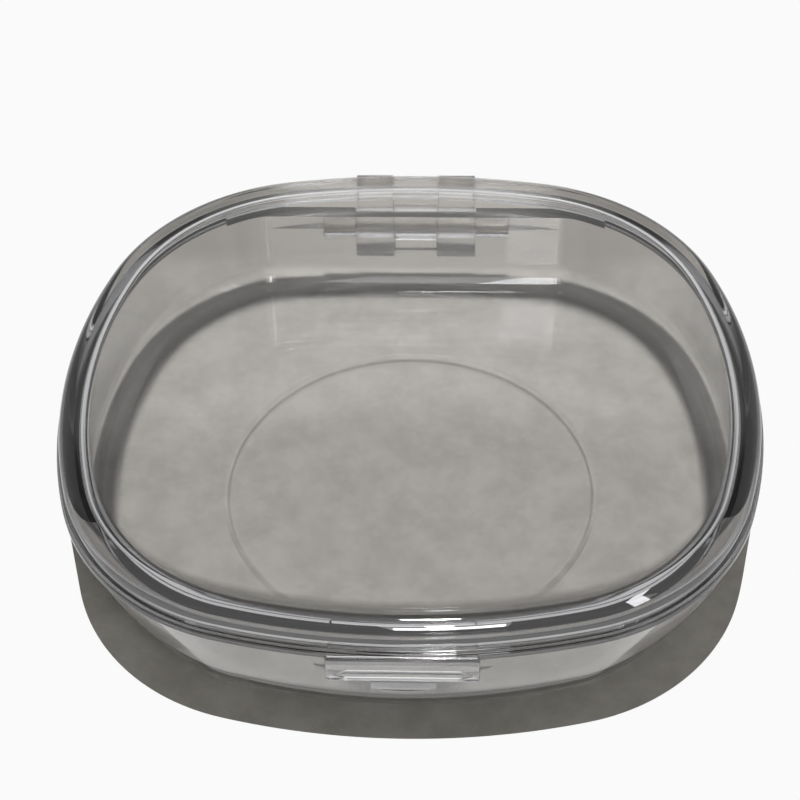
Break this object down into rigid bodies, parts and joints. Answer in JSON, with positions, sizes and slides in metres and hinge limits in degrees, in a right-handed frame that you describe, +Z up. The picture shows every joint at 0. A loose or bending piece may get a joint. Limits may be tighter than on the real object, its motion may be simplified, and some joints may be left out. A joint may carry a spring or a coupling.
{
  "type": "orthodontic retainer case",
  "caption": "Slim clear plastic case for a dental retainer: a shallow rounded tray and a lid hinged along the back, with a thumb tab at the front.",
  "frame": {"origin": "on the table under the middle of the closed case's bounding box", "axes": "+Z up, -Y the front with the thumb tab, +Y the back with the hinge, X along the hinge"},
  "size_m": [0.084, 0.0782, 0.018],
  "materials": {
    "clear_lid": "polished clear moulding",
    "clear_base": "polished clear moulding",
    "pin_steel": "drawn wire"
  },
  "bodies": {
    "base": {"base_shell": "clear_base", "hinge_pin": "pin_steel"},
    "lid": {"lid_shell": "clear_lid"}
  },
  "joints": [
    {"name": "lid_hinge", "type": "hinge", "parent": "base", "child": "lid", "pos_m": [0, 0.037, 0.0096], "axis": [-1, 0, 0], "range_deg": [0, 140]}
  ]
}
